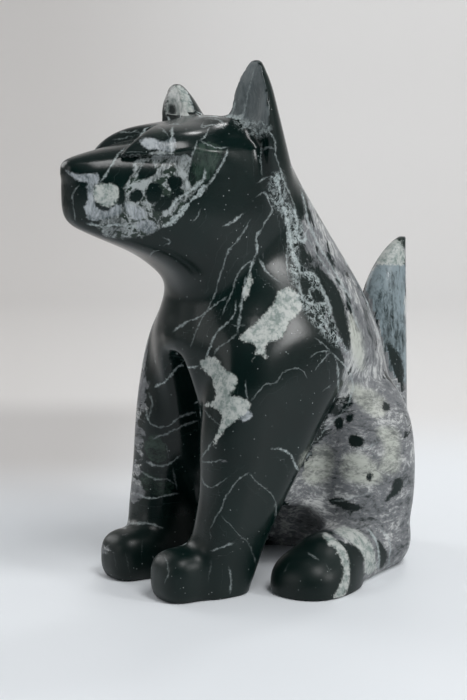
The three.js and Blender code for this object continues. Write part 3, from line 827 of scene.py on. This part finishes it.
def seen_in_photo(points, normals):
    """Pixel across and down of each point in the photograph, and how well it shows, from 0 to 1."""
    ahead = np.subtract(AIM, VIEWPOINT)
    ahead = ahead / np.linalg.norm(ahead)
    right = np.cross(ahead, (0, 0, 1))
    right /= np.linalg.norm(right)
    above = np.cross(right, ahead)
    ray = points - np.array(VIEWPOINT)[:, None]
    depth = ahead @ ray
    across = PHOTO_WIDTH / 2 + FOCAL_PIXELS * (right @ ray) / depth
    down = PHOTO_HEIGHT / 2 - FOCAL_PIXELS * (above @ ray) / depth
    facing = -(normals * ray).sum(0) / np.linalg.norm(ray, axis=0)
    return across, down, step(facing, *FACING) * open_to_view(across, down, depth, facing)


def smooth_line(points, closed=False):
    """Close-set points on a smooth curve through the given ones."""
    points = np.array(points, float)
    if len(points) < 3:
        return points
    if closed:
        points = np.vstack([points[-2:], points, points[:2]])
    length = np.append(0, np.cumsum(np.linalg.norm(np.diff(points, axis=0), axis=1)))
    spots = np.arange(0, length[-1], CURVE_SPACING)
    if closed:
        spots = spots[(spots >= length[2]) & (spots < length[-2])]
    else:
        spots = np.append(spots, length[-1])
    return np.stack(through(np.column_stack([length, points]), spots), axis=1)


def near_line(across, down, line, reach):
    """Which points lie in the line's box, widened by the reach."""
    low, high = line.min(0) - reach, line.max(0) + reach
    return (across > low[0]) & (across < high[0]) & (down > low[1]) & (down < high[1])


def nearest_stretch(x, y, line):
    """Signed distance to an open line, and how far along it, from 0 to 1."""
    start, run = line[:-1], np.diff(line, axis=0)
    ox, oy = x[:, None] - start[:, 0], y[:, None] - start[:, 1]
    t = np.clip((ox * run[:, 0] + oy * run[:, 1]) / (run**2).sum(1), 0, 1)
    away = np.hypot(ox - t * run[:, 0], oy - t * run[:, 1])
    k = away.argmin(1)
    row = np.arange(len(x))
    side = np.sign(ox[row, k] * run[k, 1] - oy[row, k] * run[k, 0])
    return side * away[row, k], (k + t[row, k]) / len(run)


def free_channels(lines):
    """A channel for each line. Lines that run close together are in different ones."""
    channel = []
    for i, line in enumerate(lines):
        near = {
            channel[j] for j in range(i)
            if np.hypot(*(line[:, None] - lines[j][None]).transpose(2, 0, 1)).min() < VEIN.apart
        }
        channel.append(next(k for k in range(len(lines)) if k not in near))
    return channel


def vein_channels(across, down, shown):
    """Channels that hold the signed distance, half width and strength of the nearest vein."""
    lines = [smooth_line(vein[2:]) for vein in VEINS]
    channel = free_channels(lines)
    layers = np.zeros((max(channel) + 1, len(across), 3))
    layers[:, :, 0] = VEIN.reach
    for (half, strength, *_), line, k in zip(VEINS, lines, channel):
        near = np.nonzero(near_line(across, down, line, VEIN.reach) & (shown > 0))[0]
        away, along = nearest_stretch(across[near], down[near], line)
        near, away, along = (value[np.abs(away) < VEIN.reach] for value in (near, away, along))
        ends = np.clip(np.minimum(along, 1 - along) * len(line) / VEIN.end, 0, 1)
        fade = np.clip((VEIN.reach - np.abs(away)) / VEIN.fade, 0, 1)
        layers[k, near, 0] = away
        layers[k, near, 1] = VEIN.width * half * (VEIN.tip + (1 - VEIN.tip) * ends) * fade
        layers[k, near, 2] = strength * np.sqrt(ends) * shown[near]
    return layers


def inside_patches(across, down, outlines):
    """How deep each point lies inside the nearest outline, in pixels. Outside it is negative."""
    deep = np.full(len(across), -float(PATCH_REACH))
    for outline in outlines:
        line = smooth_line(outline, closed=True)
        line = np.vstack([line, line[:1]])
        near = np.nonzero(near_line(across, down, line, PATCH_REACH))[0]
        x, y = across[near], down[near]
        away, _ = nearest_stretch(x, y, line)
        crossed = np.zeros(len(near), bool)
        for (ax, ay), (bx, by) in zip(line[:-1], line[1:]):
            if ay != by:
                crossed ^= ((ay > y) != (by > y)) & (x < ax + (bx - ax) * (y - ay) / (by - ay))
        deep[near] = np.maximum(deep[near], np.where(crossed, 1, -1) * np.abs(away))
    return deep


def grey_cloud(points):
    """How deep a point lies in the clouded stone of the back, the haunches and the right side, in mm."""
    x, y, z = points
    behind = y - through(CLOUD_EDGE, z)[0]
    right_side = np.minimum(-x - RIGHT_CLOUD.side, RIGHT_CLOUD.top - z)
    cloud = np.clip(np.maximum(behind, np.minimum(right_side, RIGHT_CLOUD.most)), *CLOUD_DEPTH)
    tail = TAIL_CLOUD.less * step(y, *TAIL_CLOUD.back) * step(z, *TAIL_CLOUD.height)
    haunch = HAUNCH_CLOUD.more * step(z, *HAUNCH_CLOUD.height) * step(behind, *HAUNCH_CLOUD.behind)
    return cloud + haunch - tail


def broken_cheek(points):
    """1 where the cheeks and muzzle are broken into small angular stones, 0 elsewhere."""
    x, y, z = points
    along = step(-y, *BROKEN_CHEEK.back) * step(-y, *BROKEN_CHEEK.front)
    up = step(z, *BROKEN_CHEEK.low) * step(z, *BROKEN_CHEEK.high)
    return along * up * step(np.abs(x), *BROKEN_CHEEK.aside)


def ear_face(points, normals):
    """1 on the flat front of the left ear, which is rubbed dull."""
    x, y, z = points
    front = step(-normals[1], *DULL_EAR.facing) * step(y, *DULL_EAR.front)
    return step(z, *DULL_EAR.height) * front * step(x, *DULL_EAR.aside)


def lay(name, *values):
    """Writes three values for each corner of the mesh, as one named vector."""
    vectors = np.stack(values, axis=1)
    mesh.attributes.new(name, "FLOAT_VECTOR", "POINT").data.foreach_set("vector", vectors.ravel())


def lay_pattern():
    """Writes the pattern to the mesh, and returns the names of the vein channels."""
    across, down, shown = seen_in_photo(surface, normals)
    channels = []
    for i, layer in enumerate(vein_channels(across, down, shown)):
        channels.append(f"vein_{i}")
        lay(channels[-1], *layer.T)

    def patch(outlines):
        return inside_patches(across, down, outlines) - HIDDEN_DEPTH * (1 - shown)

    lay("patches", patch(PALE_PATCHES), patch(BLUE_PATCHES), patch(DARK_STONE_AND_SHADE_PATCHES))
    lay("ground", patch(GREEN_PATCHES), grey_cloud(surface), shown)
    lay("finish", broken_cheek(surface) * (1 - shown), ear_face(surface, normals), patch(BROKEN_PATCHES))
    lay("bright", patch(SOFT_PALE_AND_LIT_PATCHES), patch(SLATE_PATCHES), patch(LACE_PATCHES))
    return channels


# Materials

def principled(name, colour, roughness):
    material = bpy.data.materials.new(name)
    material.use_nodes = True
    shader = material.node_tree.nodes["Principled BSDF"]
    shader.inputs["Base Color"].default_value = (*colour, 1)
    shader.inputs["Roughness"].default_value = roughness
    return material


class Nodes:
    """Makes the nodes of a material or the world. Most calls give the new node's output."""

    def __init__(self, tree):
        self.tree = tree

    def join(self, value, socket):
        if isinstance(value, bpy.types.NodeSocket):
            self.tree.links.new(value, socket)
        elif value is not None:
            socket.default_value = value

    def feed(self, key, value):
        self.join(value, self.tree.nodes["Principled BSDF"].inputs[key])

    def node(self, kind, inputs, **settings):
        node = self.tree.nodes.new(f"ShaderNode{kind}")
        for name, value in settings.items():
            setattr(node, name, value)
        for key, value in inputs.items():
            self.join(value, node.inputs[key])
        return node

    def math(self, operation, a, b=None, c=None, clamp=False):
        inputs = {0: a, 1: b, 2: c}
        return self.node("Math", inputs, operation=operation, use_clamp=clamp).outputs[0]

    def plus(self, a, b):
        return self.math("ADD", a, b)

    def minus(self, a, b):
        return self.math("SUBTRACT", a, b)

    def times(self, a, b, clamp=False):
        return self.math("MULTIPLY", a, b, clamp=clamp)

    def line(self, value, slope, start, clamp=False):
        """The value times the slope, plus the start."""
        return self.math("MULTIPLY_ADD", value, slope, start, clamp)

    def centred(self, noise, width):
        """A noise made to swing about 0, from minus to plus half the width at most."""
        return self.line(noise, width, -width / 2)

    def shared(self, a, b, shares):
        return self.line(a, shares[0], self.times(b, shares[1]))

    def most(self, first, *others):
        for value in others:
            first = self.math("MAXIMUM", first, value)
        return first

    def vector(self, operation, a, b):
        return self.node("VectorMath", {0: a, 1: b}, operation=operation).outputs[0]

    def along(self, place, direction):
        """How far the place lies along a direction."""
        inputs = {0: place, 1: direction}
        return self.node("VectorMath", inputs, operation="DOT_PRODUCT").outputs["Value"]

    def height(self, place):
        return self.node("SeparateXYZ", {0: place}).outputs[2]

    def attribute(self, name):
        node = self.node("Attribute", {}, attribute_name=name)
        return self.node("SeparateXYZ", {0: node.outputs["Vector"]}).outputs

    def texture_place(self, kind):
        return self.node("TexCoord", {}).outputs[kind]

    def mapped(self, place, **settings):
        return self.node("Mapping", {"Vector": place, **settings}).outputs[0]

    def noise(self, place, scale, detail, roughness=0.55, distortion=0, colour=False):
        inputs = {
            "Vector": place, "Scale": scale, "Detail": detail,
            "Roughness": roughness, "Distortion": distortion,
        }
        return self.node("TexNoise", inputs).outputs["Color" if colour else "Fac"]

    def cells(self, place, scale, feature="F1", output="Distance"):
        inputs = {"Vector": place, "Scale": scale}
        return self.node("TexVoronoi", inputs, feature=feature).outputs[output]

    def rise(self, value, low, high):
        """0 where the value is below low, 1 where it is above high, and smooth between them."""
        inputs = {"Value": value, "From Min": low, "From Max": high}
        return self.node("MapRange", inputs, interpolation_type="SMOOTHSTEP").outputs["Result"]

    def mix(self, amount, a, b):
        node = self.node("Mix", {0: amount}, data_type="RGBA")
        for value, socket in ((a, node.inputs[6]), (b, node.inputs[7])):
            self.join((*value, 1) if isinstance(value, tuple) else value, socket)
        return node.outputs[2]

    def tone(self, value, low, high, dark, pale):
        return self.mix(self.rise(value, low, high), dark, pale)

    def bump(self, height, strength, depth):
        inputs = {"Height": height, "Strength": strength, "Distance": depth}
        self.feed("Normal", self.node("Bump", inputs).outputs[0])


class Stone(Nodes):
    """The nodes of the carving's stone, with what all its layers share. Places are in millimetres."""

    def __init__(self, tree):
        super().__init__(tree)
        self.place = self.mapped(self.texture_place("Object"), Scale=(1 / MM, 1 / MM, 1 / MM))
        self.warped = self.pushed(self.place, NOISE.swirl, PUSH.swirl)
        self.fine = self.noise(self.place, *NOISE.fine)
        self.rough = self.noise(self.place, *NOISE.rough)
        wave = self.centred(self.rough, PUSH.edge_wave)
        self.ragged = self.plus(wave, self.centred(self.fine, PUSH.edge_tatter))
        inputs = {0: GRAIN_SWIRL, 4: self.place, 5: self.warped}
        eased = self.node("Mix", inputs, data_type="VECTOR").outputs[1]
        self.long_strokes = self.mapped(eased, **LONG_STROKES)
        self.short_strokes = self.mapped(eased, **SHORT_STROKES)
        self.up = self.height(self.place)
        self.upper = self.rise(self.up, *LEVEL.strokes)
        self.shade = self.shared(self.stroked(*NOISE.wool), self.stroked(*NOISE.blot), SHADE_SHARES)

    def pushed(self, place, noise, amount):
        swing = self.vector("SUBTRACT", self.noise(self.place, *noise, colour=True), (0.5, 0.5, 0.5))
        return self.vector("ADD", place, self.vector("MULTIPLY", swing, (amount, amount, amount)))

    def stroked(self, *noise):
        """A noise in round blots on the haunches and paws, and in long strokes above them."""
        node = self.node("Mix", {0: self.upper}, data_type="FLOAT")
        self.join(self.noise(self.short_strokes, *noise), node.inputs[2])
        self.join(self.noise(self.long_strokes, *noise), node.inputs[3])
        return node.outputs[0]

    def laid(self, depth, edge=EDGE):
        """1 inside a patch and 0 outside it, with a ragged edge."""
        return self.rise(self.plus(depth, self.ragged), *edge)

    def toned(self, tone):
        return self.tone(self.shade, *tone)

    def cloud(self):
        return self.tone(self.shade, *LEVEL.white, self.toned(TONE.grey), WHITE)

    def chalk(self):
        return self.tone(self.shared(self.rough, self.fine, CHALK_SHARES), *TONE.chalk)

    def rubble(self):
        """Small angular dark stones in a paler matrix."""
        shaken = self.pushed(self.warped, NOISE.rubble, PUSH.rubble)
        number = self.cells(shaken, RUBBLE_SCALE, output="Color")
        crumb = self.node("SeparateColor", {0: number}).outputs[0]
        joint = self.rise(self.cells(shaken, RUBBLE_SCALE, "DISTANCE_TO_EDGE"), *LEVEL.rubble_joint)
        block = self.times(joint, self.rise(crumb, *LEVEL.rubble_stone))
        return self.mix(block, self.toned(TONE.matrix), self.mix(crumb, *CRUMB))

    def rubble_places(self, broken, rubbly):
        """Spots on the unseen cheek, and the patch that the photograph shows."""
        spots = self.rise(self.noise(self.warped, *NOISE.rubble_spots), *LEVEL.rubble_spots)
        return self.most(self.times(broken, spots), self.laid(rubbly))

    def lace_places(self, lace):
        """Fine strands, and crumbs between them."""
        crossing = self.minus(self.noise(self.place, *NOISE.strands), 0.5)
        strands = self.rise(self.math("ABSOLUTE", crossing), *LEVEL.strands)
        crumbs = self.rise(self.noise(self.place, *NOISE.crumbs), *LEVEL.crumbs)
        threads = self.most(strands, self.times(crumbs, COVER.crumbs))
        return self.times(self.times(self.laid(lace, LACE_EDGE), threads), COVER.lace)

    def placed_veins(self, channels):
        """The veins that the photograph shows, ragged and broken up. Offsets are in its pixels."""
        bend = self.centred(self.noise(self.place, *NOISE.vein_bend), PUSH.vein_bend)
        wander = self.centred(self.noise(self.place, *NOISE.vein_wander), PUSH.vein_wander)
        offset = self.plus(wander, bend)
        swell = self.line(self.noise(self.place, *NOISE.vein_swell), *VEIN_SWELL)
        veins = []
        for name in channels:
            away, half, strength = self.attribute(name)
            off = self.math("ABSOLUTE", self.plus(away, offset))
            core = self.line(self.minus(self.times(half, swell), off), *VEIN_CORE, clamp=True)
            veins.append(self.times(core, strength))
        grit = self.rise(self.fine, *LEVEL.grit)
        return self.times(self.most(*veins), self.line(grit, *VEIN_GAPS), clamp=True)

    def wild_veins(self, size, thickness, share):
        """A network of thin veins on the borders of warped cells, kept in only part of the places."""
        edge = self.cells(self.warped, 1 / size, "DISTANCE_TO_EDGE")
        places = self.noise(self.warped, WILD_PLACES.scale / size, WILD_PLACES.detail)
        kept = self.rise(places, WILD_PLACES.start - share, WILD_PLACES.whole - share)
        return self.times(self.rise(edge, thickness / size, 0), kept)

    def specks(self):
        dots = self.rise(self.cells(self.place, SPECK_SCALE), *LEVEL.speck)
        return self.times(dots, self.rise(self.rough, *LEVEL.speck_place))

    def polish(self, light_stone, dull):
        """Dark stone is glossy. Light stone, the paws and the rubbed ear are duller."""
        dark = self.line(self.rough, POLISH.rough, POLISH.least)
        gloss = self.line(light_stone, POLISH.light_stone, dark)
        foot = self.rise(self.up, *LEVEL.worn_foot)
        worn = self.line(foot, POLISH.worn_foot, self.times(dull, POLISH.dull))
        self.feed("Roughness", self.plus(worn, gloss))
        self.feed("Specular IOR Level", SHINE)
        relief = self.line(light_stone, RELIEF.light_stone, self.times(self.fine, RELIEF.fine))
        self.bump(relief, RELIEF.strength, RELIEF.depth)


def serpentine(channels):
    """Dark green stone with bluish white veins, pale patches and grey cloud, one layer over another."""
    material = principled("veined_serpentine", STONE_COLOUR, STONE_ROUGHNESS)
    stone = Stone(material.node_tree)
    pale, blue, dark = stone.attribute("patches")
    green, cloud, shown = stone.attribute("ground")
    broken, dull, rubbly = stone.attribute("finish")
    soft, slate, lace = stone.attribute("bright")

    deep = stone.mix(stone.noise(stone.warped, *NOISE.deep), *DEEP)
    thread = stone.mix(stone.rough, *THREAD)
    cloudy = stone.rise(stone.line(cloud, CLOUD_GAIN, stone.stroked(*NOISE.fibre)), *LEVEL.cloud)
    chalky = stone.laid(pale)
    wild = stone.most(*(stone.wild_veins(*form) for form in WILD_VEINS))
    vein = stone.most(stone.placed_veins(channels), stone.times(wild, stone.minus(1, shown)))
    layers = [
        (stone.rubble_places(broken, rubbly), stone.rubble()),
        (cloudy, stone.cloud()),
        # Softly whitened stone, which also paints light on the haunch's bulge
        (stone.times(stone.laid(soft, SOFT_EDGE), COVER.soft), stone.toned(TONE.snow)),
        (stone.laid(slate), stone.toned(TONE.steel)),
        (stone.times(dull, COVER.dull), stone.toned(TONE.rubbed)),
        (stone.laid(green), stone.toned(TONE.moss)),
        (stone.laid(blue), stone.toned(TONE.frost)),
        (chalky, stone.chalk()),
        (stone.lace_places(lace), thread),
        # Dark stone, and painted shade in creases and along the far ear's rim
        (stone.laid(dark), deep),
        (vein, thread),
        (stone.specks(), SPECK),
    ]
    colour = deep
    for amount, layer in layers:
        colour = stone.mix(amount, colour, layer)
    stone.feed("Base Color", colour)
    stone.polish(stone.most(cloudy, chalky, vein), dull)
    return material


mesh.materials.append(serpentine(lay_pattern()))


# Floor, wall, lights and camera

def pale_paper(away, left):
    """Cool white paper that turns warmer behind the dog, with painted shade darkening it to the left and a
    band of painted shadow, and a faint tooth.
    """
    paper = principled("pale_floor", FLOOR_COLOUR, PAPER.roughness)
    nodes = Nodes(paper.node_tree)
    place = nodes.texture_place("Object")
    behind = nodes.along(place, away)
    aside = nodes.along(place, left)
    # Painted shade: the wall darkens towards the left
    wall = nodes.tone(aside, *WALL_SHADE_FROM, WALL_COLOUR, SHADED_WALL_COLOUR)
    colour = nodes.tone(behind, *WALL_FROM, FLOOR_COLOUR, wall)
    # Painted shadow: a dark band on the left, where the floor turns into the wall
    band = nodes.times(nodes.rise(behind, *SHADOW_BAND.start), nodes.rise(behind, *SHADOW_BAND.end))
    painted_shadow = nodes.times(band, nodes.rise(aside, *SHADOW_BAND.aside))
    nodes.feed("Base Color", nodes.mix(painted_shadow, colour, PAINTED_SHADOW_COLOUR))
    nodes.bump(nodes.noise(place, *PAPER.tooth), PAPER.strength, PAPER.depth)
    return paper


def studio():
    """A pale floor that curves up into a pale wall, far behind the dog."""
    view = Vector(AIM) - Vector(VIEWPOINT)
    away = Vector((view.x, view.y, 0)).normalized()
    left = Vector((-away.y, away.x, 0))
    profile = [(COVE.front, 0)]
    for i in range(COVE.turns + 1):
        angle = np.pi / 2 * i / COVE.turns
        profile.append((COVE.back + COVE.bend * np.sin(angle), COVE.bend * (1 - np.cos(angle))))
    profile.append((COVE.back + COVE.bend, COVE.height))
    points = []
    for along, up in profile:
        for side in (-COVE.half, COVE.half):
            points.append(along * away + side * left + Vector((0, 0, up)))
    faces = [(2 * i, 2 * i + 1, 2 * i + 3, 2 * i + 2) for i in range(len(profile) - 1)]
    cove = bpy.data.meshes.new("floor")
    cove.from_pydata(points, [], faces)
    cove.shade_smooth()
    cove.materials.append(pale_paper(away, left))
    floor = bpy.data.objects.new("floor", cove)
    bpy.context.collection.objects.link(floor)


def turned_to(start, target):
    return (Vector(target) - Vector(start)).to_track_quat("-Z", "Y").to_euler()


def soft_light(name, place, target, width, height, watts):
    light = bpy.data.lights.new(name, "AREA")
    light.shape = "RECTANGLE"
    light.size = width
    light.size_y = height
    light.energy = watts
    lamp = bpy.data.objects.new(name, light)
    lamp.location = place
    lamp.rotation_euler = turned_to(place, target)
    bpy.context.collection.objects.link(lamp)


def room():
    """A dim ceiling, pale walls, and a dark side where the photographer stands."""
    world = bpy.data.worlds.new("room")
    world.use_nodes = True
    nodes = Nodes(world.node_tree)
    direction = nodes.texture_place("Generated")
    near = nodes.along(direction, NEAR_ROOM)
    walls = nodes.tone(near, *NEAR_FROM, FAR_ROOM_COLOUR, NEAR_ROOM_COLOUR)
    colour = nodes.tone(nodes.height(direction), *CEILING_FROM, walls, CEILING_COLOUR)
    nodes.join(colour, nodes.tree.nodes["Background"].inputs[0])
    bpy.context.scene.world = world


def photo_view(shift):
    """The photograph's camera, moved as the mesh was moved to lie in the CAD solid's box."""
    camera = bpy.data.cameras.new("photo_view")
    camera.sensor_fit = "VERTICAL"
    camera.sensor_height = FILM_HEIGHT
    camera.lens = camera.sensor_height * FOCAL_PIXELS / PHOTO_HEIGHT
    camera.clip_start = CLIP_START
    eye = bpy.data.objects.new("photo_view", camera)
    eye.location = Vector(VIEWPOINT) * MM + Vector(shift)
    eye.rotation_euler = turned_to(VIEWPOINT, AIM)
    bpy.context.collection.objects.link(eye)
    bpy.context.scene.camera = eye


studio()
for light in LIGHTS:
    soft_light(*light)
room()
photo_view(shift)
bpy.context.scene.view_settings.view_transform = "Standard"
